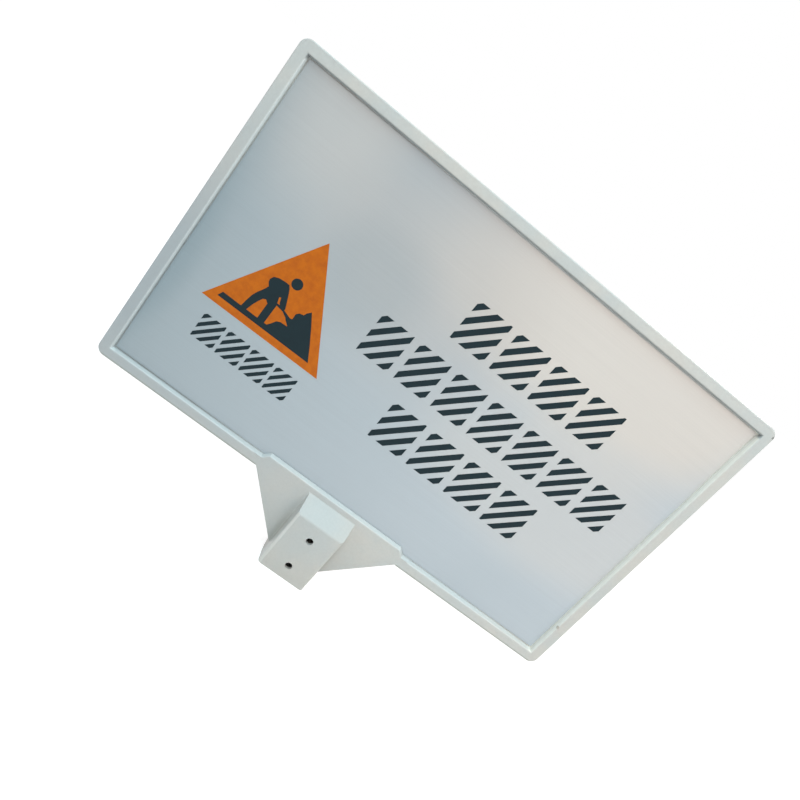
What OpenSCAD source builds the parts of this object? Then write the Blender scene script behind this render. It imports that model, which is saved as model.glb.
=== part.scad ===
// Moulded composite sign board with a post socket and a thin face sheet.
// The origin is the centre of the socket's mouth. The front faces -Y and +Z is up.

/* [Board] */
// Width of the board over its rim
board_w = 640; // [560:5:800]
// Height of the board over its rim
board_h = 400; // [300:5:560]
// Thickness of the board, from the front rim face to the back one
board_t = 14; // [12:0.5:18]
// Height of the board's lower edge above the socket's mouth
board_lift = 87; // [85:1:120]
// Radius of the board's outer corners
corner_r = 10; // [5:1:14]
// Radius along the outer edges of the board and its flange
edge_r = 1.2; // [0.6:0.2:2]
// Depth of the front recess, down to the panel
front_recess = 8; // [5:0.5:9]
// Depth of the back recess, down to the panel
back_recess = 2; // [1.5:0.25:3]

/* [Rim and lip] */
// Width of the rim's flat face
rim_w = 12.5; // [9:0.5:15]
// Width of the sloping lip inside the flat face
lip_w = 1.6; // [1:0.2:4]
// Radius over the crown of the lip
lip_r = 2.2; // [1:0.2:3]
// Rise of the lip where it steps up above the socket
step_rise = 7.5; // [5:0.5:10]
// Width of the raised stretch of lip, at its foot
step_w = 206; // [150:2:240]

/* [Flange] */
// Width of the flange where it leaves the board
flange_w = 203; // [170:1:240]
// Angle of the flange's sloping edges from level
flange_angle = 46.5; // [42:0.5:50]
// Thickness of the flange's front skin
flange_skin = 6; // [4:0.5:8]
// Width of the wall round the pockets behind the flange
flange_wall = 6; // [4:0.5:8]
// Radius in the corners of those pockets
pocket_r = 4; // [2:0.5:6]

/* [Post socket] */
// Side of the square post that the socket takes
post_w = 50; // [44:1:56]
// Gap between the post and each wall of the socket
post_gap = 1; // [0.5:0.25:2]
// Thickness of the socket's front and back walls
socket_wall = 5; // [4:0.5:8]
// Thickness of the socket's side walls at their outer ends
socket_side = 5.6; // [4:0.2:8]
// Draft of the socket's side walls
socket_draft = 3; // [1:0.5:5]
// Depth of the socket, from its mouth to the stop for the post
socket_depth = 78; // [70:1:82]
// Slope of the socket's shoulders from level
shoulder_angle = 37; // [30:1:45]
// Thickness of the shoulders over the socket's inner corners
shoulder_t = 6; // [4:0.5:8]
// Radius of the socket's outer upright edges
socket_r = 4.5; // [2:0.5:5]
// Radius where the shoulders turn into the front and back walls
shoulder_r = 4; // [1:0.5:5]
// Radius of the fillets where the socket's sides run into the flange
root_r = 2.5; // [1:0.5:3]
// Radius in the corners of the socket's hollow
hollow_r = 2.5; // [1:0.5:5]

/* [Cross bolts] */
// Diameter of the cross bolt holes
bolt_hole_d = 9; // [6:0.5:12]
// Distance between the two holes
bolt_pitch = 42; // [30:1:45]
// Height of the lower hole above the socket's mouth
bolt_low = 18.5; // [12:0.5:22]

/* [Ribs on the back] */
// Thickness of a rib at its crest
rib_t = 4; // [3:0.5:6]
// Draft of a rib's flanks, as extra thickness at the foot of each side
rib_flare = 0.8; // [0.2:0.2:1.5]
// How far the crest of a rib stays below the back rim face
rib_drop = 0.5; // [0.25:0.25:1]

/* [Face sheet] */
// Thickness of the face sheet
sheet_t = 1; // [0.5:0.25:2]
// Gap between the face sheet and the foot of the lip
sheet_gap = 1.2; // [0.4:0.1:2]
// Gap between the face sheet and the raised stretch of lip, which it meets closely
step_gap = 0.1; // [0.05:0.05:0.5]
// Radius of the face sheet's corners
sheet_r = 1.5; // [0.5:0.5:4]

/* [Hidden] */

arc_steps = 6;
round_fn = 64;
over = 1;
reach = board_w + board_h;

rim_face = board_t / 2;
panel_front = front_recess - rim_face;
panel_back = rim_face - back_recess;
board_mid = board_lift + board_h / 2;
tray_w = board_w - 2 * (rim_w + lip_w);
tray_h = board_h - 2 * (rim_w + lip_w);
tray_low = board_lift + rim_w + lip_w;

hollow_w = post_w + 2 * post_gap;
socket_half_t = hollow_w / 2 + socket_wall;
socket_half_w = hollow_w / 2 + socket_side;
root_half_w = socket_half_w + (socket_half_t - rim_face) * tan(socket_draft);
shoulder_low = socket_depth + shoulder_t / cos(shoulder_angle) - socket_wall * tan(shoulder_angle);
shoulder_top = shoulder_low + (socket_half_t - rim_face) * tan(shoulder_angle);
flange_low = board_lift - (flange_w / 2 - root_half_w) * tan(flange_angle);

// Direction of a vector, as a vector one long
function unit(v) = v / norm(v);

// Points of an arc of radius r that rounds the corner b between a and c
function corner_arc(a, b, c, r) =
    let (u = unit(a - b), v = unit(c - b), half = acos(u * v) / 2,
         centre = b + unit(u + v) * r / sin(half),
         first = b + u * r / tan(half) - centre, last = b + v * r / tan(half) - centre,
         start = atan2(first.y, first.x), raw = atan2(last.y, last.x) - start,
         sweep = raw > 180 ? raw - 360 : raw < -180 ? raw + 360 : raw)
    [for (i = [0:arc_steps]) let (at = start + sweep * i / arc_steps) centre + r * [cos(at), sin(at)]];

// Outline through the points, with the corner at each point rounded by its radius
function rounded(points, radii) =
    let (count = len(points))
    [for (i = [0:count - 1])
        each radii[i] == 0 ? [points[i]]
            : corner_arc(points[(i + count - 1) % count], points[i], points[(i + 1) % count], radii[i])];

// Section of the lip of a recess: outward distance from its foot, then height above its foot
function lip_section(depth) =
    concat([[0, 0]], corner_arc([0, 0], [lip_w, depth], [lip_w + rim_w, depth], lip_r));

// Draws an outline given in X and Z, and carries it from y0 to y1
module upright(y0, y1) {
    translate([0, y1, 0]) rotate([90, 0, 0]) linear_extrude(y1 - y0) children();
}

// Draws an outline given in Y and Z, and carries it along X
module along_x(length) {
    rotate([90, 0, 90]) linear_extrude(length, center = true) children();
}

// Draws an outline given in X and Y, and carries it along Z
module along_z(length) {
    linear_extrude(length, center = true) children();
}

// Plate with its outer edges rounded, reaching down from a level edge at the origin
module edge_plate(length, drop) {
    along_x(length) polygon(rounded(
        [[-rim_face, -drop], [-rim_face, 0], [rim_face, 0], [rim_face, -drop]],
        [0, edge_r, edge_r, 0]));
}

// The board's slab: two crossing bars and four round corners, all with the same rounded edge
module slab() {
    half = [board_w / 2, board_h / 2];
    translate([0, 0, board_mid]) {
        along_z(board_h - 2 * corner_r) polygon(rounded(
            [[-half.x, -rim_face], [half.x, -rim_face], [half.x, rim_face], [-half.x, rim_face]],
            [edge_r, edge_r, edge_r, edge_r]));
        along_x(board_w - 2 * corner_r) polygon(rounded(
            [[-rim_face, -half.y], [rim_face, -half.y], [rim_face, half.y], [-rim_face, half.y]],
            [edge_r, edge_r, edge_r, edge_r]));
        for (sx = [-1, 1], sz = [-1, 1])
            translate([sx * (half.x - corner_r), 0, sz * (half.y - corner_r)])
                rotate([90, 0, 0]) rotate_extrude($fn = round_fn) polygon(rounded(
                    [[0, -rim_face], [corner_r, -rim_face], [corner_r, rim_face], [0, rim_face]],
                    [0, edge_r, edge_r, 0]));
    }
}

// Air over a recess in one direction: its floor is span wide and its lips slope and round outwards
module tray_outline(span, depth) {
    side = lip_section(depth);
    last = len(side) - 1;
    polygon(concat(
        [for (p = side) [span / 2 + p.x, -p.y]],
        [[span / 2 + side[last].x, -depth - over], [-span / 2 - side[last].x, -depth - over]],
        [for (i = [last:-1:0]) [-span / 2 - side[i].x, -side[i].y]]));
}

// Whole air over a recess, opening towards -Y from a floor at y = 0
module tray(depth) {
    intersection() {
        along_z(reach) tray_outline(tray_w, depth);
        rotate([0, 90, 0]) along_z(reach) tray_outline(tray_h, depth);
    }
}

// Half space behind the lip's slope, below a level foot line through the origin
module lip_half_space() {
    side = lip_section(front_recess);
    along_x(reach) polygon(concat(
        [for (p = side) [-p.y, -p.x]],
        [[-front_recess - over, -side[len(side) - 1].x], [-front_recess - over, -reach], [over, -reach],
         [over, 0]]));
}

// Raised stretch of the lower lip, bounded by its level foot and its two slanted ends
module lip_step() {
    intersection() {
        translate([0, panel_front, tray_low + step_rise]) lip_half_space();
        for_each_end() translate([-step_w / 2, panel_front, tray_low]) rotate([0, -45, 0]) lip_half_space();
    }
}

// The part common to a shape and its mirror image across the middle of the board
module for_each_end() {
    intersection() {
        children();
        mirror([1, 0, 0]) children();
    }
}

// Flange below the board, narrowing to the socket
module flange() {
    intersection() {
        for_each_end()
            translate([-flange_w / 2, 0, board_lift]) rotate([0, 180 + flange_angle, 0]) edge_plate(reach, reach);
        translate([-reach / 2, -board_t, flange_low])
            cube([reach, 2 * board_t, board_lift + rim_w - flange_low]);
    }
}

// Pocket behind one side of the flange, which leaves a wall along the flange's edge and the board
module flange_pocket() {
    top = board_lift - flange_wall / 2;
    inner = root_half_w + flange_wall / 2;
    slant = flange_wall / sin(flange_angle);
    outer = flange_w / 2 - slant - (board_lift - top) / tan(flange_angle);
    low = top - (outer - inner) * tan(flange_angle);
    upright(flange_skin - rim_face, rim_face + over)
        polygon(rounded([[inner, low], [outer, top], [inner, top]], [pocket_r / 2, pocket_r / 2, pocket_r]));
}

// Fillets of the four corners between the socket's sides and the flange, down to the flange's edge
module root_fillets() {
    corner = [root_half_w, -rim_face];
    rise = edge_r / cos(flange_angle);
    intersection() {
        linear_extrude(shoulder_top)
            for (sx = [0, 1], sy = [0, 1]) mirror([sx, 0]) mirror([0, sy]) polygon(concat(
                corner_arc(corner + [root_r, 0], corner, [socket_half_w, -socket_half_t], root_r),
                [corner + [-over, over]]));
        for_each_end() upright(-reach, reach) polygon(
            [[-reach, flange_low + rise + (reach - root_half_w) * tan(flange_angle)],
             [-root_half_w, flange_low + rise], [reach, flange_low + rise],
             [reach, 2 * reach], [-reach, 2 * reach]]);
    }
}

// Outside of the post socket: drafted sides in plan, sloping shoulders seen from the side
module socket_block() {
    intersection() {
        union() {
            linear_extrude(shoulder_top) polygon(rounded(
                [[-socket_half_w, -socket_half_t], [socket_half_w, -socket_half_t],
                 [root_half_w, -rim_face], [root_half_w, rim_face],
                 [socket_half_w, socket_half_t], [-socket_half_w, socket_half_t],
                 [-root_half_w, rim_face], [-root_half_w, -rim_face]],
                [socket_r, socket_r, 0, 0, socket_r, socket_r, 0, 0]));
            root_fillets();
        }
        along_x(reach) polygon(rounded(
            [[-socket_half_t, 0], [socket_half_t, 0], [socket_half_t, shoulder_low],
             [rim_face, shoulder_top], [-rim_face, shoulder_top], [-socket_half_t, shoulder_low]],
            [0, 0, shoulder_r, 0, 0, shoulder_r]));
    }
}

// Square hollow for the post, open at the mouth
module socket_hollow() {
    half = hollow_w / 2;
    translate([0, 0, -over]) linear_extrude(socket_depth + over) polygon(rounded(
        [[-half, -half], [half, -half], [half, half], [-half, half]],
        [hollow_r, hollow_r, hollow_r, hollow_r]));
}

// Two bolt holes, one above the other, through the front and back walls
module bolt_holes() {
    for (i = [0, 1])
        translate([0, 0, bolt_low + i * bolt_pitch]) rotate([90, 0, 0])
            cylinder(h = 2 * (socket_half_t + over), d = bolt_hole_d, center = true, $fn = round_fn);
}

// Drafted rib on the back of the panel, along X
module rib(length) {
    crest = rib_t / 2;
    foot = crest + rib_flare;
    along_x(length) polygon([[panel_back - over, -foot], [panel_back, -foot], [rim_face - rib_drop, -crest],
        [rim_face - rib_drop, crest], [panel_back, foot], [panel_back - over, foot]]);
}

// Ribs on the back: one level, and two upright ones in line with the socket's side walls
module back_ribs() {
    side = hollow_w / 2 + socket_side / 2;
    translate([0, 0, board_mid]) {
        rib(board_w - 2 * rim_w);
        for (sx = [-1, 1])
            translate([sx * side, 0, 0]) rotate([0, 90, 0]) rib(board_h - 2 * rim_w);
    }
}

// One moulding: rim, panel, stepped lip, flange, ribs and post socket
module sign_board() color([0.80, 0.82, 0.81]) {
    difference() {
        union() {
            difference() {
                slab();
                translate([0, panel_front, board_mid]) tray(front_recess);
                translate([0, panel_back, board_mid]) mirror([0, 1, 0]) tray(back_recess);
            }
            intersection() {
                lip_step();
                translate([-step_w, -rim_face, board_lift + edge_r])
                    cube([2 * step_w, front_recess + over, rim_w + lip_w + step_rise]);
            }
            flange();
            back_ribs();
            socket_block();
        }
        socket_hollow();
        bolt_holes();
        for (sx = [0, 1]) mirror([sx, 0, 0]) flange_pocket();
    }
}

// Thin sheet that lies on the panel inside the lip, cut out round the raised stretch of lip
module face_sheet() color([0.70, 0.74, 0.76]) {
    half = [tray_w / 2 - sheet_gap, tray_h / 2 - sheet_gap];
    cut_top = step_rise + step_gap - tray_h / 2;
    cut_half_top = step_w / 2 - step_rise + step_gap * tan(22.5);
    cut_half_foot = cut_half_top + cut_top + half.y;
    upright(panel_front - sheet_t, panel_front) translate([0, board_mid])
        polygon(rounded(
            [[-half.x, -half.y], [-cut_half_foot, -half.y], [-cut_half_top, cut_top],
             [cut_half_top, cut_top], [cut_half_foot, -half.y], [half.x, -half.y],
             [half.x, half.y], [-half.x, half.y]],
            [sheet_r, 0, 0, 0, 0, sheet_r, sheet_r, sheet_r]));
}

sign_board();
face_sheet();
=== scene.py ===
"""Looks of a roadside sign board: moulded board, satin face sheet, printed films and the studio."""

import math

import bpy
from bpy.props import (
    FloatProperty,
    FloatVectorProperty,
    PointerProperty,
)
from bpy.types import Operator, Panel, PropertyGroup
from mathutils import Matrix, Vector


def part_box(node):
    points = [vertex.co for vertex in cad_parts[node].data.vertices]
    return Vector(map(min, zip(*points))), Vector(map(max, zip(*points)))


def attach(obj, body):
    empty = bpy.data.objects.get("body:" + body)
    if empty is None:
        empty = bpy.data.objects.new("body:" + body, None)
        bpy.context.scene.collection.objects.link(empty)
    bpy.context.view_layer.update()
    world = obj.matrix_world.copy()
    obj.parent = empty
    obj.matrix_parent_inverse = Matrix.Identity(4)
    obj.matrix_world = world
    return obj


bl_info = {
    "name": "Sign Board Finish",
    "version": (1, 0, 0),
    "blender": (4, 5, 0),
    "location": "3D View > Sidebar > Sign Board",
    "description": "Finishes a moulded sign board and prints its face",
    "category": "Object",
}

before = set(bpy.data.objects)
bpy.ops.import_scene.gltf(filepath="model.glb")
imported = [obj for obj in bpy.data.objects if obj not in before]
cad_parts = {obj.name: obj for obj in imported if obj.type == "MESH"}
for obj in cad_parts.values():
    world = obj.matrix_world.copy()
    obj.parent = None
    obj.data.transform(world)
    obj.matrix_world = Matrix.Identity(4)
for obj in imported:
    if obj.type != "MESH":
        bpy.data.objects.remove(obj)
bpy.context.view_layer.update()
SHEET_LOW, SHEET_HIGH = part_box("face_sheet")
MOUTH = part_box("sign_board")[0].z  # the socket's mouth, which stands on the floor
FACE = SHEET_LOW.y  # the front of the sheet, which every film lies on
MM = 0.001
SAME_POINT = 0.01 * MM  # points nearer than this are one

# Places on the board that its bounding box doesn't give, in metres
RIM_FRONT = -0.007  # the rim's front face, from the middle of the board's thickness
LIFT = 0.087  # the board's lower edge, over the socket's mouth
LIP_RIGHT = 0.3  # from here on the lip is the right side's
STEP_FOOT = 0.103  # the foot of the lip's slanted step, out from the middle
STEP_RISE = 0.0075  # how far the step lifts the lip
SOCKET_HALF = 0.029  # the middle of the socket's walls, out from the middle of its mouth
ROOT = 0.032  # where the socket's sides meet the flange, out from the middle


def linear(hex_code):
    """An sRGB hex colour as the linear red, green and blue that Blender works in."""
    made = []
    for start in (1, 3, 5):
        value = int(hex_code[start:start + 2], 16) / 255
        made.append(value / 12.92 if value <= 0.04045 else ((value + 0.055) / 1.055) ** 2.4)
    return made


def colour_prop(name, description, hex_code):
    return FloatVectorProperty(
        name=name, description=description, subtype="COLOR", size=3, min=0, max=1,
        default=linear(hex_code),
    )


def length_prop(name, description, millimetres):
    return FloatProperty(
        name=name, description=description, default=millimetres * MM, min=0,
        unit="LENGTH", subtype="DISTANCE", precision=5,
    )


class BoardSettings(PropertyGroup):
    moulding: colour_prop("Moulding", "Colour of the moulded board", "#D2CFCA")
    moulding_warm: colour_prop("Warm flow", "Where the resin flowed yellower", "#D4CFC9")
    moulding_cool: colour_prop("Cool flow", "Where the resin flowed greyer", "#CBCCCA")
    # painted shade: the moulding greyer where less light falls, strongest low on the left
    moulding_shade: colour_prop("Road film", "Greyed skin, strongest low on the left", "#B1B7BB")
    # painted highlights: the lip's crest, the right crest and the socket's front left corner
    crest: colour_prop("Lip crest", "Rubbed, paler crest of the lip", "#EEF4F5")
    crest_right: colour_prop("Right crest", "The same crest on the right side", "#F9F6EE")
    # painted shade in the socket's feet, in hollows and along the board's lower edge
    crease_shade: colour_prop("Grime", "Dust held in feet and corners", "#8B8C80")
    # painted shade, darker towards the socket's mouth
    splash: colour_prop("Splash", "Dulled skin of the flange and socket", "#AAA8A3")
    # painted shade in the gap round the sheet and on the top lip's downward wall
    gap_shade: colour_prop("Gap dirt", "Dirt packed in the gap round the sheet", "#9BA0A1")
    stain: colour_prop("Stain", "Rusty spot on the right side of the rim", "#8A6A48")
    chip: colour_prop("Chip", "Dirt in the chipped corner", "#55534C")
    # the face's greys: painted shade at the left, painted light at the right, painted warm reflection
    # towards the top
    face_shaded_left: colour_prop("Face, left", "Grey of the film at the left", "#9CA8AE")
    face_lit_right: colour_prop("Face, right", "Grey of the film at the right", "#C1C7CD")
    face_warm_reflection: colour_prop("Face, top", "Warmer grey of the film towards the top", "#D8D1CB")
    face_grey: colour_prop("Face, grey", "Plainer grey of the film left of the middle", "#C2BCB8")
    # painted shade in a few patches of the face
    face_shade: colour_prop("Face, dim", "Dimmer grey of a few patches", "#8497A0")
    streak_height: length_prop("Streaks", "Spacing of the film's level streaks", 1.2)


class PrintSettings(PropertyGroup):
    orange: colour_prop("Orange", "Colour of the triangle", "#D06C08")
    ink: colour_prop("Ink", "Dark blue-grey of the figure and the bars", "#0E262D")
    film: length_prop("Film", "Thickness of the triangle's film", 0.15)
    ink_coat: length_prop("Ink coat", "Thickness of the ink on the triangle", 0.08)
    bar_film: length_prop("Bar film", "Thickness of the bars' film", 0.12)
    base: length_prop("Triangle base", "Length of the triangle's level side", 154.2)
    height: length_prop("Triangle height", "Height of the triangle", 128.7)
    middle: FloatProperty(
        name="Triangle middle", description="Place of the apex across the board",
        default=-185.3 * MM, unit="LENGTH", subtype="DISTANCE",
    )
    foot: length_prop("Triangle foot", "Height of the level side over the socket's mouth", 213.7)
    bar_share: FloatProperty(
        name="Bar share", description="How much of a marking's field the bars cover",
        default=52, min=10, max=90, subtype="PERCENTAGE",
    )


class StudioSettings(PropertyGroup):
    lens: FloatProperty(
        name="Lens", description="Focal length of the camera", default=33.66, min=10,
        unit="CAMERA",
    )
    key: FloatProperty(
        name="Key light", description="Power of the lamp at the right", default=5.2,
        min=0, unit="POWER",
    )
    top: FloatProperty(
        name="Top light", description="Power of the lamp overhead", default=13.4,
        min=0, unit="POWER",
    )
    back: FloatProperty(
        name="Back light", description="Power of the lamp behind the board", default=7.0,
        min=0, unit="POWER",
    )
    sky: FloatProperty(
        name="Sky", description="Strength of the light from all round", default=0.635, min=0,
    )
    floor: colour_prop("Floor", "Colour of the floor", "#EDEDEB")


# Small tools

def add_node(tree, kind, settings=None, sockets=None):
    """Adds one node, with its settings, and each socket set to a value or joined to an output."""
    made = tree.nodes.new(kind)
    for name, value in (settings or {}).items():
        setattr(made, name, value)
    for name, value in (sockets or {}).items():
        if isinstance(value, bpy.types.NodeSocket):
            tree.links.new(value, made.inputs[name])
        elif made.inputs[name].type == "RGBA" and len(value) == 3:
            made.inputs[name].default_value = (*value, 1)
        else:
            made.inputs[name].default_value = value
    return made


def new_material(name):
    """A material with an empty node tree, its output and the object's own coordinates."""
    made = bpy.data.materials.new(name)
    made.use_nodes = True
    tree = made.node_tree
    tree.nodes.clear()
    output = add_node(tree, "ShaderNodeOutputMaterial")
    place = add_node(tree, "ShaderNodeTexCoord").outputs["Object"]
    return made, tree, output, place


def together(tree, *shares):
    """One share out of several, multiplied.

    Each is a number, an output, or a fade: an output, the value it starts at and where it is full."""
    product = 1.0
    for share in shares:
        if isinstance(share, tuple):
            value, start, full = share
            share = add_node(tree, "ShaderNodeMapRange", None,
                             {"Value": value, "From Min": start, "From Max": full}).outputs[0]
        product = add_node(tree, "ShaderNodeMath", {"operation": "MULTIPLY"},
                           {0: product, 1: share}).outputs[0]
    return product


def lay_over(tree, base, colour, *shares):
    """Lays a colour over the base, as strongly as the shares say together."""
    return add_node(tree, "ShaderNodeMix", {"data_type": "RGBA"},
                    {0: together(tree, *shares), 6: base, 7: colour}).outputs[2]


def cells(millimetres):
    """The scale of a pattern whose cells are this many mm across."""
    return 1 / (millimetres * MM)


def deselect():
    """Leaves edit mode and deselects everything, the CAD nodes too."""
    if bpy.context.object and bpy.context.object.mode != "OBJECT":
        bpy.ops.object.mode_set(mode="OBJECT")
    bpy.ops.object.select_all(action="DESELECT")


def finish_piece(piece, name, material):
    """Names a finished piece, gives it its material and lets it ride on the board."""
    bpy.ops.object.transform_apply(location=True, rotation=True, scale=True)
    piece.name = piece.data.name = name
    piece.data.materials.clear()
    piece.data.materials.append(material)
    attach(piece, "root")


def thicken(thickness):
    """In edit mode, gives the selected flat faces a thickness, forwards from where they lie."""
    bpy.ops.mesh.extrude_region_move(TRANSFORM_OT_translate={"value": (0, -thickness, 0)})
    bpy.ops.mesh.select_all(action="SELECT")
    bpy.ops.mesh.normals_make_consistent(inside=False)
    bpy.ops.object.mode_set(mode="OBJECT")


def cut_film(outline, back, thickness, corner=0.0):
    """A flat film cut along an outline in mm across the board and up it, from its back face forwards."""
    deselect()
    bpy.ops.mesh.primitive_plane_add(size=MM, location=(0, 0, 0))
    film = bpy.context.object
    bpy.ops.object.mode_set(mode="EDIT")
    bpy.ops.mesh.select_mode(type="VERT")
    bpy.ops.mesh.merge(type="CENTER")
    points = [Vector((x * MM, back, z * MM)) for x, z in outline]
    bpy.ops.transform.translate(value=points[0])
    for here, there in zip(points, points[1:]):
        bpy.ops.mesh.extrude_vertices_move(TRANSFORM_OT_translate={"value": there - here})
    # the first and the last point are joined, and the ring is filled
    bpy.ops.mesh.select_all(action="DESELECT")
    bpy.ops.object.mode_set(mode="OBJECT")
    for vertex in film.data.vertices:
        vertex.select = min((vertex.co - end).length for end in (points[0], points[-1])) < SAME_POINT
    bpy.ops.object.mode_set(mode="EDIT")
    bpy.ops.mesh.edge_face_add()
    bpy.ops.mesh.select_all(action="SELECT")
    bpy.ops.mesh.edge_face_add()
    if corner:
        bpy.ops.mesh.bevel(offset=corner * MM, segments=3, affect="VERTICES", clamp_overlap=True)
    bpy.ops.mesh.select_all(action="SELECT")
    thicken(thickness)
    return film


def unite(piece, others):
    """Joins overlapping films of one thickness into one, with no faces left inside."""
    for other in others:
        deselect()
        bpy.context.view_layer.objects.active = piece
        piece.select_set(True)
        bpy.ops.object.modifier_add(type="BOOLEAN")
        joint = piece.modifiers[-1]
        joint.operation = "UNION"
        joint.solver = "EXACT"
        joint.object = other
        bpy.ops.object.modifier_apply(modifier=joint.name)
        deselect()
        other.select_set(True)
        bpy.context.view_layer.objects.active = other
        bpy.ops.object.delete()
    deselect()
    bpy.context.view_layer.objects.active = piece
    piece.select_set(True)
    return piece


# The moulded board's material: each function lays its features over the colour so far

def lip_places(tree, place):
    """Outputs that say where a place on the board is, by name, for the features to fade along."""
    axes = add_node(tree, "ShaderNodeSeparateXYZ", None, {"Vector": place})
    at = {"x": axes.outputs["X"], "y": axes.outputs["Y"], "z": axes.outputs["Z"]}
    at["across"] = add_node(tree, "ShaderNodeMath", {"operation": "ABSOLUTE"},
                            {0: at["x"]}).outputs[0]
    # the sheet's lower edge follows the raised stretch of the lip
    edge = add_node(tree, "ShaderNodeMapRange", None,
                    {"Value": at["across"], "From Min": STEP_FOOT, "From Max": STEP_FOOT - STEP_RISE,
                     "To Min": SHEET_LOW.z, "To Max": SHEET_LOW.z + STEP_RISE})
    # how far a place lies out from the sheet, past each of its edges and past the nearest
    for name, far, near in (("below", edge.outputs[0], at["z"]),
                            ("above", at["z"], SHEET_HIGH.z),
                            ("beside", at["across"], SHEET_HIGH.x)):
        at[name] = add_node(tree, "ShaderNodeMath", {"operation": "SUBTRACT"},
                            {0: far, 1: near}).outputs[0]
    outward = at["below"]
    for name in ("above", "beside"):
        outward = add_node(tree, "ShaderNodeMath", {"operation": "MAXIMUM"},
                           {0: outward, 1: at[name]}).outputs[0]
    at["lip"] = together(tree, (at["y"], FACE + 2 * MM, FACE + 1.5 * MM),
                         (outward, 5.2 * MM, 3.6 * MM))
    at["right"] = together(tree, (at["x"], LIP_RIGHT, LIP_RIGHT + 4 * MM))
    return at


def flow_clouds(tree, place, look):
    """Clouds about 70 mm across where the resin flowed, and the short glass strands under the skin.

    The strands are drawn about 3 mm long, so that they show at all."""
    clouds = add_node(tree, "ShaderNodeTexNoise", None,
                      {"Vector": place, "Scale": cells(71.4), "Detail": 3.0, "Roughness": 0.55})
    clouds = clouds.outputs["Fac"]
    base = lay_over(tree, look.moulding, look.moulding_warm, (clouds, 0.42, 0.68))
    base = lay_over(tree, base, look.moulding_cool, (clouds, 0.58, 0.36))
    strands = add_node(tree, "ShaderNodeTexVoronoi", {"feature": "F1"},
                       {"Vector": place, "Scale": cells(3.03), "Randomness": 1.0})
    fleck = add_node(tree, "ShaderNodeMapRange", None,
                     {"Value": strands.outputs["Distance"], "From Min": 0.0, "From Max": 0.9,
                      "To Min": 1.025, "To Max": 0.975})
    base = add_node(tree, "ShaderNodeVectorMath", {"operation": "SCALE"},
                    {0: base, "Scale": fleck.outputs[0]})
    return base.outputs[0], clouds


def paint_left_shade(tree, place, at, look, base):
    """Painted shade: a grey, strongest low on the left, reaching less far upwards, and weaker on the
    back.
    """
    away = add_node(tree, "ShaderNodeVectorMath", {"operation": "SUBTRACT"},
                    {0: place, 1: (-310 * MM, 0, 200 * MM)})
    away = add_node(tree, "ShaderNodeVectorMath", {"operation": "MULTIPLY"},
                    {0: away.outputs[0], 1: (1.0, 1.0, 1.6)})
    away = add_node(tree, "ShaderNodeVectorMath", {"operation": "LENGTH"}, {0: away.outputs[0]})
    weaker_behind = add_node(tree, "ShaderNodeMapRange", None,
                         {"Value": at["y"], "From Min": 2 * MM, "From Max": 8 * MM,
                          "To Min": 1.0, "To Max": 0.3})
    # painted shade, weaker towards the back
    return lay_over(tree, base, look.moulding_shade, weaker_behind.outputs[0],
                    (away.outputs["Value"], 390 * MM, 90 * MM))


def paint_crest_highlight(tree, at, look, base, pale):
    """A painted highlight on the upper half of the lip's slope, most at the sides and not along the top.
    """
    slope = add_node(tree, "ShaderNodeMapRange", {"interpolation_type": "SMOOTHSTEP"},
                     {"Value": at["y"], "From Min": FACE, "From Max": FACE - 3.5 * MM})
    share = add_node(tree, "ShaderNodeMapRange", None,
                     {"Value": at["beside"], "From Min": -3 * MM, "From Max": 0.0,
                      "To Min": 0.42, "To Max": 0.75})
    share = add_node(tree, "ShaderNodeMath", {"operation": "MULTIPLY_ADD"},
                     {0: at["right"], 1: 0.25, 2: share.outputs[0]})
    return lay_over(tree, base, pale, at["lip"], slope.outputs[0], share.outputs[0],
                    (at["y"], RIM_FRONT + 0.1 * MM, RIM_FRONT + 1 * MM),
                    (at["above"], 0.0, -3 * MM))


def groove_shade_and_highlight(tree, at, look, base, pale):
    """Painted shade in the gap round the sheet, along the top lip's wall and thinner at the left.

    Elsewhere the groove is painted light, as pale as the crest's painted highlight."""
    foot = together(tree, (at["y"], FACE - 2.6 * MM, FACE - 0.6 * MM))
    # painted shade on the top lip's downward wall, and weaker at the lip's foot on the left
    along_top = together(tree, (at["y"], RIM_FRONT, RIM_FRONT + 0.6 * MM),
                         (at["above"], -3 * MM, 0.0), (at["y"], FACE, FACE - 1 * MM))
    along_left = together(tree, foot, (at["x"], -100 * MM, -200 * MM), 0.2)
    # the share of painted shade in the groove
    packed = add_node(tree, "ShaderNodeMath", {"operation": "MAXIMUM"},
                      {0: along_top, 1: along_left})
    packed = together(tree, packed.outputs[0], at["lip"])
    base = lay_over(tree, base, look.gap_shade, packed)
    # painted light: away from the painted shade the groove is painted pale, most at the right
    groove_highlight = together(tree, (packed, 0.2, 0.0), 0.55)
    groove_highlight = add_node(tree, "ShaderNodeMath", {"operation": "MULTIPLY_ADD", "use_clamp": True},
                      {0: at["right"], 1: 0.5, 2: groove_highlight})
    return lay_over(tree, base, pale, groove_highlight.outputs[0], foot, at["lip"])


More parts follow.
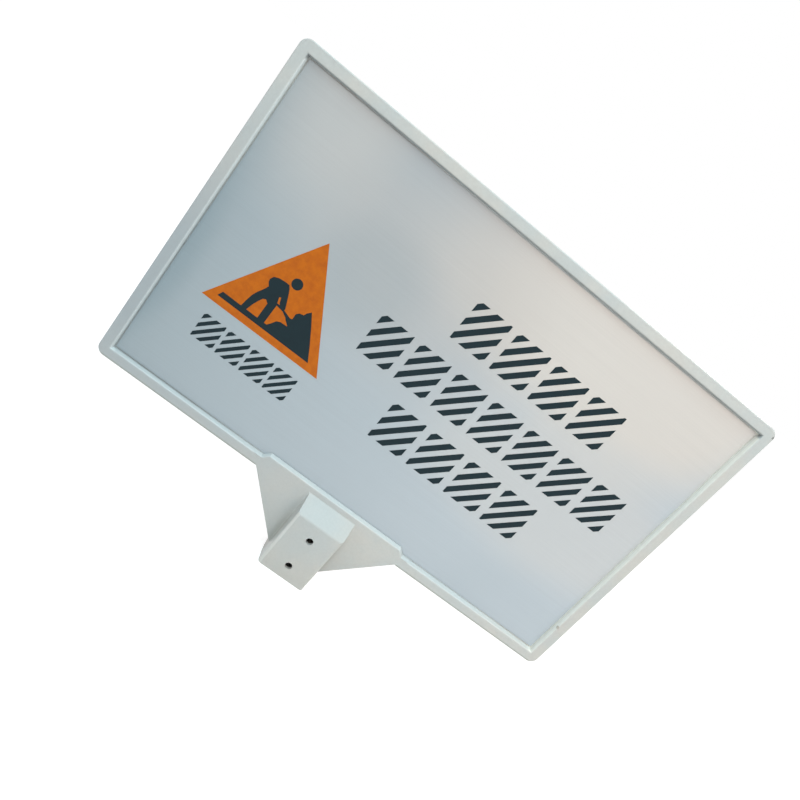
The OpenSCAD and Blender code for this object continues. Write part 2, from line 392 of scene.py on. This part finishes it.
def socket_shade_and_highlight(tree, at, look, base):
    """Below the board: painted shade towards the socket's mouth and in the socket's feet, a painted
    highlight on one corner, and a line of painted shade along the board's lower edge.
    """
    # painted shade, darker towards the socket's mouth, less on the socket's front
    behind = add_node(tree, "ShaderNodeMapRange", None,
                      {"Value": at["y"], "From Min": -30 * MM, "From Max": -10 * MM,
                       "To Min": 0.25, "To Max": 0.45})
    base = lay_over(tree, base, look.splash, behind.outputs[0], (at["z"], 90 * MM, 0.0))
    # painted shade in the feet where the socket's sides meet the flange
    root = add_node(tree, "ShaderNodeMapRange", {"interpolation_type": "SMOOTHSTEP"},
                    {"Value": at["across"], "From Min": ROOT + 12 * MM, "From Max": ROOT})
    base = lay_over(tree, base, look.crease_shade, root.outputs[0], 0.42, (at["z"], LIFT, 40 * MM),
                    (at["y"], -15 * MM, -8 * MM), (at["y"], 6 * MM, 3 * MM))
    # a painted highlight on the rounded front left corner, found by its slanted normal
    facing = add_node(tree, "ShaderNodeNewGeometry").outputs["Normal"]
    facing = add_node(tree, "ShaderNodeSeparateXYZ", None, {"Vector": facing})
    slanted = together(tree, facing.outputs["X"], facing.outputs["Y"])
    base = lay_over(tree, base, look.crest_right, (slanted, 0.1, 0.4), 0.45,
                    (at["y"], -18 * MM, -24 * MM))
    # a thin line of painted shade along the board's lower edge, clear of the flange
    clear = add_node(tree, "ShaderNodeMath", {"operation": "GREATER_THAN"},
                     {0: at["across"], 1: STEP_FOOT})
    return lay_over(tree, base, look.crease_shade, clear.outputs[0], 0.6,
                    (at["z"], LIFT + 3 * MM, LIFT + 1 * MM))


def hollow_shade_and_spots(tree, place, look, base):
    """Painted shade in every foot and groove, a rusty spot on the right lip and a dirty chipped corner.
    """
    # painted shade, darker where ambient occlusion finds a hollow
    hollow = add_node(tree, "ShaderNodeAmbientOcclusion", {"samples": 8}, {"Distance": 5 * MM})
    base = lay_over(tree, base, look.crease_shade, (hollow.outputs["AO"], 0.75, 0.25), 0.12)
    ragged = add_node(tree, "ShaderNodeTexNoise", None,
                      {"Vector": place, "Scale": cells(1.6667), "Detail": 2.0})
    for centre, radius, share, colour in (((307.8, -5.5, 147.5), 2.6, 0.5, look.stain),
                                          ((318.5, -6.6, 480.0), 2.2, 0.8, look.chip)):
        away = add_node(tree, "ShaderNodeVectorMath", {"operation": "DISTANCE"},
                        {0: place, 1: [value * MM for value in centre]})
        away = add_node(tree, "ShaderNodeMath", {"operation": "MULTIPLY_ADD"},
                        {0: ragged.outputs["Fac"], 1: 3 * MM, 2: away.outputs["Value"]})
        base = lay_over(tree, base, colour, share,
                        (away.outputs[0], (radius + 1.5) * MM, (radius + 0.2) * MM))
    return base


def moulded_polyester(look):
    """Glass-filled polyester, compression moulded: an off-white that is satin and a little uneven.

    The eye gets a soft sheen, clouds where the resin flowed and a fine skin like orange peel. Painted
    onto it are shade low on the left, a highlight on the lip's crest and shade in the gap and in the
    socket's feet; the sign's own marks are a rusty spot on the right and a chipped corner."""
    made, tree, output, place = new_material("glass_filled_polyester_moulded")
    at = lip_places(tree, place)
    # the colour of the painted highlights, whiter towards the right
    pale = lay_over(tree, look.crest, look.crest_right, (at["x"], 200 * MM, LIP_RIGHT + 4 * MM))
    base, clouds = flow_clouds(tree, place, look)
    base = paint_left_shade(tree, place, at, look, base)
    base = paint_crest_highlight(tree, at, look, base, pale)
    base = groove_shade_and_highlight(tree, at, look, base, pale)
    base = socket_shade_and_highlight(tree, at, look, base)
    base = hollow_shade_and_spots(tree, place, look, base)
    # skin: slow waves about 40 mm across, and peel about 2.5 mm across
    waves = add_node(tree, "ShaderNodeTexNoise", None,
                     {"Vector": place, "Scale": cells(40), "Detail": 1.0})
    peel = add_node(tree, "ShaderNodeTexNoise", None,
                    {"Vector": place, "Scale": cells(2.5), "Detail": 1.0, "Roughness": 0.4})
    low = add_node(tree, "ShaderNodeBump", None,
                   {"Height": waves.outputs["Fac"], "Strength": 0.25, "Distance": 0.6 * MM})
    fine = add_node(tree, "ShaderNodeBump", None,
                    {"Height": peel.outputs["Fac"], "Strength": 0.3, "Distance": 0.06 * MM,
                     "Normal": low.outputs["Normal"]})
    gloss = add_node(tree, "ShaderNodeMapRange", None,
                     {"Value": clouds, "From Min": 0.3, "From Max": 0.7,
                      "To Min": 0.32, "To Max": 0.44})
    skin = add_node(tree, "ShaderNodeBsdfPrincipled", None,
                    {"Base Color": base, "Roughness": gloss.outputs[0],
                     "IOR": 1.55, "Normal": fine.outputs["Normal"]})
    tree.links.new(skin.outputs[0], output.inputs["Surface"])
    return made


# The other materials

def soft_patches(tree, place, look, uneven, base):
    """Broad, soft changes of tone on the sheet, painted reflection and painted shade, each with a ragged
    reach.
    """
    # each patch: its middle in mm across and up, its stretch, where it ends and is full, its share
    for middle, stretch, far, near, share, colour in (
            # painted warm reflection along the top, right of the middle
            ((138, 440), (0.65, 1.3), 192, 85, 1.0, look.face_warm_reflection),
            # a smaller patch of painted warm reflection in the upper left corner
            ((-243, 460), (1.5, 0.9), 150, 30, 0.48, look.face_warm_reflection),
            # a plainer grey left of the middle
            ((-85, 385), (0.8, 0.9), 155, 40, 0.5, look.face_grey),
            # a faint band of painted warm reflection from the middle to the right edge
            ((200, 265), (0.45, 1.0), 110, 50, 0.4, look.face_warm_reflection),
            # painted shade at the left edge, right of the triangle's apex and in the lower right corner
            ((-315, 235), (2.0, 0.6), 90, 30, 0.42, look.face_shade),
            ((-125, 335), (0.9, 0.9), 80, 25, 0.2, look.face_shade),
            ((270, 110), (0.5, 1.0), 90, 30, 0.1, look.face_shade)):
        away = add_node(tree, "ShaderNodeVectorMath", {"operation": "SUBTRACT"},
                        {0: place, 1: (middle[0] * MM, FACE, middle[1] * MM)})
        away = add_node(tree, "ShaderNodeVectorMath", {"operation": "MULTIPLY"},
                        {0: away.outputs[0], 1: (stretch[0], 1.0, stretch[1])})
        away = add_node(tree, "ShaderNodeVectorMath", {"operation": "LENGTH"},
                        {0: away.outputs[0]})
        away = add_node(tree, "ShaderNodeMath", {"operation": "MULTIPLY_ADD"},
                        {0: uneven, 1: far * MM, 2: away.outputs["Value"]})
        weight = add_node(tree, "ShaderNodeMapRange", {"interpolation_type": "SMOOTHSTEP"},
                          {"Value": away.outputs[0], "From Min": far * MM, "From Max": near * MM})
        base = lay_over(tree, base, colour, weight.outputs[0], share)
    return base


def satin_sign_film(look):
    """Grey reflective film laid on aluminium sheet and rolled level: satin, part metallic.

    The eye gets fine level streaks, a broad painted change from cool shade at the left to warm light
    and reflection at the upper right, and soft patches of painted reflection and shade."""
    made, tree, output, place = new_material("reflective_film_on_aluminium")
    axes = add_node(tree, "ShaderNodeSeparateXYZ", None, {"Vector": place})
    # broad tone over the sheet's own width: painted shade, darker and cooler on the left, and painted
    # light on the right
    across = together(tree, (axes.outputs["X"], SHEET_LOW.x, SHEET_HIGH.x))
    patches = add_node(tree, "ShaderNodeTexNoise", None,
                       {"Vector": place, "Scale": cells(143), "Detail": 2.0, "Roughness": 0.5})
    uneven = add_node(tree, "ShaderNodeMath", {"operation": "MULTIPLY_ADD"},
                      {0: patches.outputs["Fac"], 1: 0.3, 2: -0.15})
    painted_light = add_node(tree, "ShaderNodeMath", {"operation": "MULTIPLY_ADD"},
                      {0: uneven.outputs[0], 1: across, 2: across})
    painted_light = add_node(tree, "ShaderNodeMath", {"operation": "POWER", "use_clamp": True},
                      {0: painted_light.outputs[0], 1: 0.5})
    base = lay_over(tree, look.face_shaded_left, look.face_lit_right, painted_light.outputs[0])
    base = soft_patches(tree, place, look, uneven.outputs[0], base)
    # level streaks: 200 mm long across the board, one each streak_height up it
    rolled = add_node(tree, "ShaderNodeMapping", None,
                      {"Vector": place, "Scale": (cells(200), cells(200), 1 / look.streak_height)})
    streaks = add_node(tree, "ShaderNodeTexNoise", None,
                       {"Vector": rolled.outputs[0], "Scale": 1.0, "Detail": 3.0,
                        "Roughness": 0.6})
    shade, gloss = (
        add_node(tree, "ShaderNodeMapRange", None,
                 {"Value": streaks.outputs["Fac"], "From Min": 0.25, "From Max": 0.75,
                  "To Min": low, "To Max": high})
        for low, high in ((0.97, 1.03), (0.34, 0.46)))
    base = add_node(tree, "ShaderNodeVectorMath", {"operation": "SCALE"},
                    {0: base, "Scale": shade.outputs[0]})
    grain = add_node(tree, "ShaderNodeBump", None,
                     {"Height": streaks.outputs["Fac"], "Strength": 0.2, "Distance": 0.02 * MM})
    drape = add_node(tree, "ShaderNodeBump", None,
                     {"Height": patches.outputs["Fac"], "Strength": 0.3, "Distance": 0.8 * MM,
                      "Normal": grain.outputs["Normal"]})
    film = add_node(tree, "ShaderNodeBsdfPrincipled", None,
                    {"Base Color": base.outputs[0], "Metallic": 0.35,
                     "Roughness": gloss.outputs[0], "IOR": 1.5,
                     "Normal": drape.outputs["Normal"]})
    tree.links.new(film.outputs[0], output.inputs["Surface"])
    return made


def printed_film(name, colour, deep, roughness, patch_mm, ior):
    """Screen-printed ink or coloured vinyl film: an even colour with slow, faint patches.

    The eye gets a flat satin colour, a shade deeper where the coat is thicker, and a fine skin,
    drawn about 1 mm across so that it shows."""
    made, tree, output, place = new_material(name)
    patches = add_node(tree, "ShaderNodeTexNoise", None,
                       {"Vector": place, "Scale": cells(patch_mm), "Detail": 3.0,
                        "Roughness": 0.6})
    base = lay_over(tree, colour, deep, (patches.outputs["Fac"], 0.38, 0.66))
    gloss = add_node(tree, "ShaderNodeMapRange", None,
                     {"Value": patches.outputs["Fac"], "From Min": 0.3, "From Max": 0.7,
                      "To Min": roughness - 0.05, "To Max": roughness + 0.06})
    skin = add_node(tree, "ShaderNodeTexNoise", None,
                    {"Vector": place, "Scale": cells(1.111), "Detail": 1.0})
    bump = add_node(tree, "ShaderNodeBump", None,
                    {"Height": skin.outputs["Fac"], "Strength": 0.25, "Distance": 0.02 * MM})
    film = add_node(tree, "ShaderNodeBsdfPrincipled", None,
                    {"Base Color": base, "Roughness": gloss.outputs[0],
                     "IOR": ior, "Normal": bump.outputs["Normal"]})
    tree.links.new(film.outputs[0], output.inputs["Surface"])
    return made


def white_rays(tree, path):
    """The share of rays that see the studio as white: the camera's own, mirrored and bent ones."""
    seen = path.outputs["Is Camera Ray"]
    for kind in ("Is Glossy Ray", "Is Transmission Ray"):
        seen = add_node(tree, "ShaderNodeMath", {"operation": "MAXIMUM"},
                        {0: seen, 1: path.outputs[kind]}).outputs[0]
    return seen


def studio_floor(colour):
    """Pale card: the camera sees it white, with the board's soft shadow, and clear from below."""
    made, tree, output, place = new_material("pale_floor_card")
    grain = add_node(tree, "ShaderNodeTexNoise", None, {"Vector": place, "Scale": cells(25)})
    shade = add_node(tree, "ShaderNodeMapRange", None,
                     {"Value": grain.outputs["Fac"], "To Min": 0.99, "To Max": 1.01})
    tint = add_node(tree, "ShaderNodeVectorMath", {"operation": "SCALE"},
                    {0: list(colour), "Scale": shade.outputs[0]})
    card = add_node(tree, "ShaderNodeBsdfDiffuse", None, {"Color": tint.outputs[0]})
    # a faint card with a glow: the far floor comes out just past white, so that no horizon shows
    faint = add_node(tree, "ShaderNodeBsdfDiffuse", None, {"Color": (0.5, 0.5, 0.5)})
    glow = add_node(tree, "ShaderNodeEmission", None, {"Color": (1, 1, 1), "Strength": 0.76})
    white = add_node(tree, "ShaderNodeAddShader", None,
                     {0: faint.outputs[0], 1: glow.outputs[0]})
    # under the socket's mouth the card is plain, so that the socket is dark inside
    span = add_node(tree, "ShaderNodeVectorMath", {"operation": "ABSOLUTE"}, {0: place})
    span = add_node(tree, "ShaderNodeSeparateXYZ", None, {"Vector": span.outputs[0]})
    span = add_node(tree, "ShaderNodeMath", {"operation": "MAXIMUM"},
                    {0: span.outputs["X"], 1: span.outputs["Y"]})
    outside = add_node(tree, "ShaderNodeMath", {"operation": "GREATER_THAN"},
                       {0: span.outputs[0], 1: SOCKET_HALF})
    path = add_node(tree, "ShaderNodeLightPath")
    surface = add_node(tree, "ShaderNodeMixShader", None,
                       {0: together(tree, white_rays(tree, path), outside.outputs[0]),
                        1: card.outputs[0], 2: white.outputs[0]})
    behind = add_node(tree, "ShaderNodeNewGeometry").outputs["Backfacing"]
    clear = add_node(tree, "ShaderNodeBsdfTransparent")
    surface = add_node(tree, "ShaderNodeMixShader", None,
                       {0: together(tree, behind, path.outputs["Is Camera Ray"]),
                        1: surface.outputs[0], 2: clear.outputs[0]})
    tree.links.new(surface.outputs[0], output.inputs["Surface"])
    return made


def studio_sky(world, strength):
    """Soft light from all round, cooler from the left, which the camera sees as plain white."""
    world.use_nodes = True
    tree = world.node_tree
    tree.nodes.clear()
    way = add_node(tree, "ShaderNodeTexCoord").outputs["Generated"]
    axes = add_node(tree, "ShaderNodeSeparateXYZ", None, {"Vector": way})
    tint = lay_over(tree, linear("#F2F4F8"), linear("#E6E2DE"), (axes.outputs["X"], -1.0, 1.0))
    light = add_node(tree, "ShaderNodeBackground", None, {"Color": tint, "Strength": strength})
    white = add_node(tree, "ShaderNodeBackground", None,
                     {"Color": (1, 1, 1), "Strength": 1.0})
    path = add_node(tree, "ShaderNodeLightPath")
    sky = add_node(tree, "ShaderNodeMixShader", None,
                   {0: white_rays(tree, path), 1: light.outputs[0], 2: white.outputs[0]})
    add_node(tree, "ShaderNodeOutputWorld", None, {"Surface": sky.outputs[0]})


# Operators

class SIGN_OT_board_finish(Operator):
    """Give the moulded board its polyester skin and the face sheet its satin film"""

    bl_idname = "sign.board_finish"
    bl_label = "Finish Board and Sheet"

    def execute(self, context):
        look = context.scene.sign_board
        for name, material in (("sign_board", moulded_polyester(look)),
                               ("face_sheet", satin_sign_film(look))):
            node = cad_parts[name]
            node.data.materials.clear()
            node.data.materials.append(material)
        return {"FINISHED"}


class SIGN_OT_triangle(Operator):
    """Lay the orange triangle on the face sheet"""

    bl_idname = "sign.triangle"
    bl_label = "Orange Triangle"

    def execute(self, context):
        ink = context.scene.sign_print
        half, middle, foot = ink.base / 2 / MM, ink.middle / MM, ink.foot / MM
        apex = foot + ink.height / MM
        film = cut_film([(middle - half, foot), (middle + half, foot), (middle, apex)],
                        FACE, ink.film, corner=0.4)
        vinyl = printed_film("orange_vinyl_film", ink.orange, linear("#C2600C"),
                             roughness=0.42, patch_mm=9, ior=1.33)
        finish_piece(film, "orange_triangle", vinyl)
        return {"FINISHED"}


# The figure is a plain road-works sign figure: outlines in mm across the board and up it, and the
# head's middle and radius.
BANK = [(-247.5, 222.5), (-244.7, 229.1), (-187.5, 229.1), (-184.3, 233.4), (-181.1, 239.0),
        (-177.0, 241.1), (-168.8, 241.6), (-168.8, 251.9), (-169.0, 259.0), (-166.3, 262.0),
        (-161.6, 263.2), (-160.4, 266.7), (-156.5, 271.4), (-148.1, 258.7), (-137.0, 240.6),
        (-126.7, 222.5)]
BODY = [(-212.9, 272.6), (-210.9, 276.9), (-205.4, 279.4), (-198.6, 280.2), (-192.7, 280.2),
        (-190.0, 276.5), (-186.0, 267.9), (-181.1, 256.2), (-181.4, 253.0), (-187.4, 254.4),
        (-189.7, 257.8), (-191.8, 263.5), (-193.7, 262.7), (-192.4, 258.0), (-190.7, 252.6),
        (-190.7, 228.0), (-199.6, 228.0), (-199.8, 248.8), (-203.5, 251.7), (-206.6, 250.1),
        (-209.4, 244.5), (-212.2, 237.1), (-214.6, 228.0), (-221.3, 228.0), (-220.2, 235.9),
        (-218.3, 245.8), (-215.6, 252.5), (-210.9, 261.1), (-209.4, 265.2), (-212.2, 269.1)]
SPADE = [(-193.0, 255.9), (-186.3, 255.8), (-178.9, 253.6), (-171.3, 251.0), (-166.4, 252.6),
         (-166.4, 240.3), (-174.0, 246.4), (-175.7, 248.5), (-182.0, 252.2), (-193.0, 253.8)]
HEAD = (-186.5, 286.0, 6.4)


def dark_ink(ink):
    """The figure's and the bars' ink, made once."""
    return (bpy.data.materials.get("dark_screen_ink")
            or printed_film("dark_screen_ink", ink.ink, linear("#10242B"),
                            roughness=0.5, patch_mm=14, ior=1.33))


class SIGN_OT_figure(Operator):
    """Print the digging figure and its bank of soil on the triangle"""

    bl_idname = "sign.figure"
    bl_label = "Digging Figure"

    def execute(self, context):
        ink = context.scene.sign_print
        back = FACE - ink.film
        bank, body, spade = (cut_film(outline, back, ink.ink_coat)
                             for outline in (BANK, BODY, SPADE))
        figure = unite(bank, [body, spade])
        deselect()
        x, z, radius = (value * MM for value in HEAD)
        bpy.ops.mesh.primitive_circle_add(
            vertices=48, radius=radius, fill_type="NGON", location=(x, back, z),
            rotation=(math.pi / 2, 0, 0))
        bpy.ops.object.mode_set(mode="EDIT")
        thicken(ink.ink_coat)
        bpy.ops.object.transform_apply(location=True, rotation=True, scale=True)
        figure.select_set(True)
        bpy.context.view_layer.objects.active = figure
        bpy.ops.object.join()
        finish_piece(figure, "digging_figure", dark_ink(ink))
        return {"FINISHED"}


# Fields of slanted bars: name, first field's left side and foot, field width and height,
# pitch from field to field, and number of fields, in mm.
ROWS = (
    ("bars_upper", -24.9, 344.0, 45.5, 50.8, 55.0, 4),
    ("bars_middle", -95.4, 269.3, 42.0, 50.7, 51.85, 7),
    ("bars_lower", -24.2, 197.3, 45.5, 51.0, 55.0, 4),
    ("bars_small", -247.2, 166.8, 28.0, 31.4, 32.1, 4),
)
BARS = 5  # bars in a field, one of them through its middle


def slanted_field(middle, width, height, share, thickness):
    """A field of bars slanted at 45 degrees, cut out of a plane by bisecting it at each bar's sides."""
    deselect()
    bpy.ops.mesh.primitive_plane_add(size=1, location=middle, rotation=(math.pi / 2, 0, 0))
    field = bpy.context.object
    field.scale = (width, height, 1)
    bpy.ops.object.transform_apply(location=True, rotation=True, scale=True)
    step = (width + height) / math.sqrt(2) / BARS
    half = step * share / 2
    slant = Vector((1, 0, -1)).normalized()
    bpy.ops.object.mode_set(mode="EDIT")
    for number in range(-(BARS // 2), BARS // 2 + 1):
        for side in (-half, half):
            bpy.ops.mesh.select_all(action="SELECT")
            bpy.ops.mesh.bisect(plane_co=middle + slant * (number * step + side), plane_no=slant)
    # what lies between the bars is deleted
    bpy.ops.mesh.select_mode(type="FACE")
    bpy.ops.mesh.select_all(action="DESELECT")
    bpy.ops.object.mode_set(mode="OBJECT")
    for face in field.data.polygons:
        along = (face.center - middle).dot(slant)
        face.select = abs(along - round(along / step) * step) > half
    bpy.ops.object.mode_set(mode="EDIT")
    bpy.ops.mesh.delete(type="FACE")
    bpy.ops.mesh.select_all(action="SELECT")
    thicken(thickness)
    return field


class SIGN_OT_bars(Operator):
    """Lay the rows of slanted bars on the face sheet"""

    bl_idname = "sign.bars"
    bl_label = "Slanted Bars"

    def execute(self, context):
        ink = context.scene.sign_print
        for name, left, foot, width, height, pitch, count in ROWS:
            middle = Vector(((left + width / 2) * MM, FACE, (foot + height / 2) * MM))
            row = slanted_field(middle, width * MM, height * MM, ink.bar_share / 100, ink.bar_film)
            bpy.ops.object.modifier_add(type="ARRAY")
            repeat = row.modifiers[-1]
            repeat.count = count
            repeat.use_relative_offset = False
            repeat.use_constant_offset = True
            repeat.constant_offset_displace = (pitch * MM, 0, 0)
            bpy.ops.object.modifier_apply(modifier=repeat.name)
            finish_piece(row, name, dark_ink(ink))
        return {"FINISHED"}


# The photograph's camera, solved from the rim's corners: its place in metres and two directions
CAMERA_PLACE = (-0.15516, -0.78334, 0.49893)
CAMERA_RIGHT = (0.7833, 0.06017, 0.61872)
CAMERA_UP = (-0.60049, 0.33065, 0.72807)
FLOOR_SIDE = 60  # metres, so wide that its edge is never seen
# The lamps: name, place and aim in metres, side in metres, power's setting and tint
LAMPS = (
    ("key_light", (0.7, -1.0, 1.1), (0.1, 0, 0.28), 0.8, "key", "#FFF6EE"),
    ("top_light", (-0.15, -0.6, 1.7), (0, 0, 0.2), 1.0, "top", "#C8F0F8"),
    ("back_light", (0.9, 1.1, 0.8), (0, 0, 0.28), 0.8, "back", "#FFF8F0"),
)


def add_floor(studio):
    bpy.ops.mesh.primitive_plane_add(size=FLOOR_SIDE, location=(0, 0, MOUTH))
    floor = bpy.context.object
    bpy.ops.object.transform_apply(location=True, rotation=True, scale=True)
    floor.name = floor.data.name = "studio_floor"
    floor.data.materials.append(studio_floor(studio.floor))


def add_lamps(studio):
    for name, place, aim, side, power, tint in LAMPS:
        bpy.ops.object.light_add(type="AREA", location=place)
        lamp = bpy.context.object
        lamp.name = lamp.data.name = name
        lamp.data.shape = "SQUARE"
        lamp.data.size = side
        lamp.data.energy = getattr(studio, power)
        lamp.data.color = linear(tint)
        toward = Vector(aim) - Vector(place)
        lamp.rotation_euler = toward.to_track_quat("-Z", "Y").to_euler()


def add_camera(studio):
    right, up = Vector(CAMERA_RIGHT).normalized(), Vector(CAMERA_UP).normalized()
    turn = Matrix((right, up, right.cross(up))).transposed().to_4x4()
    bpy.ops.object.camera_add()
    camera = bpy.context.object
    camera.name = camera.data.name = "photo_view"
    camera.matrix_world = Matrix.Translation(CAMERA_PLACE) @ turn
    camera.data.sensor_width = 36
    camera.data.lens = studio.lens
    camera.data.clip_start = 0.01
    camera.data.clip_end = 200
    bpy.context.scene.camera = camera


class SIGN_OT_studio(Operator):
    """Set up the floor, the lamps, the sky and the camera"""

    bl_idname = "sign.studio"
    bl_label = "Studio"

    def execute(self, context):
        studio = context.scene.sign_studio
        deselect()
        add_floor(studio)
        add_lamps(studio)
        add_camera(studio)
        world = bpy.data.worlds.new("studio_sky")
        context.scene.world = world
        studio_sky(world, studio.sky)
        context.scene.view_settings.view_transform = "Standard"
        return {"FINISHED"}


class SIGN_PT_sidebar(Panel):
    bl_label = "Sign Board"
    bl_idname = "SIGN_PT_sidebar"
    bl_space_type = "VIEW_3D"
    bl_region_type = "UI"
    bl_category = "Sign Board"

    def draw(self, context):
        for operator in OPERATORS:
            self.layout.operator(operator.bl_idname)
        for group in (context.scene.sign_board, context.scene.sign_print,
                      context.scene.sign_studio):
            box = self.layout.box()
            for name in group.__annotations__:
                box.prop(group, name)


OPERATORS = (SIGN_OT_studio, SIGN_OT_board_finish, SIGN_OT_triangle, SIGN_OT_figure,
             SIGN_OT_bars)
CLASSES = (BoardSettings, PrintSettings, StudioSettings, *OPERATORS, SIGN_PT_sidebar)


def register():
    for made in CLASSES:
        bpy.utils.register_class(made)
    bpy.types.Scene.sign_board = PointerProperty(type=BoardSettings)
    bpy.types.Scene.sign_print = PointerProperty(type=PrintSettings)
    bpy.types.Scene.sign_studio = PointerProperty(type=StudioSettings)


def unregister():
    del bpy.types.Scene.sign_studio
    del bpy.types.Scene.sign_print
    del bpy.types.Scene.sign_board
    for made in reversed(CLASSES):
        bpy.utils.unregister_class(made)


def main():
    register()
    bpy.ops.sign.studio()
    bpy.ops.sign.board_finish()
    bpy.ops.sign.triangle()
    bpy.ops.sign.figure()
    bpy.ops.sign.bars()
    deselect()


if __name__ == "__main__":
    main()
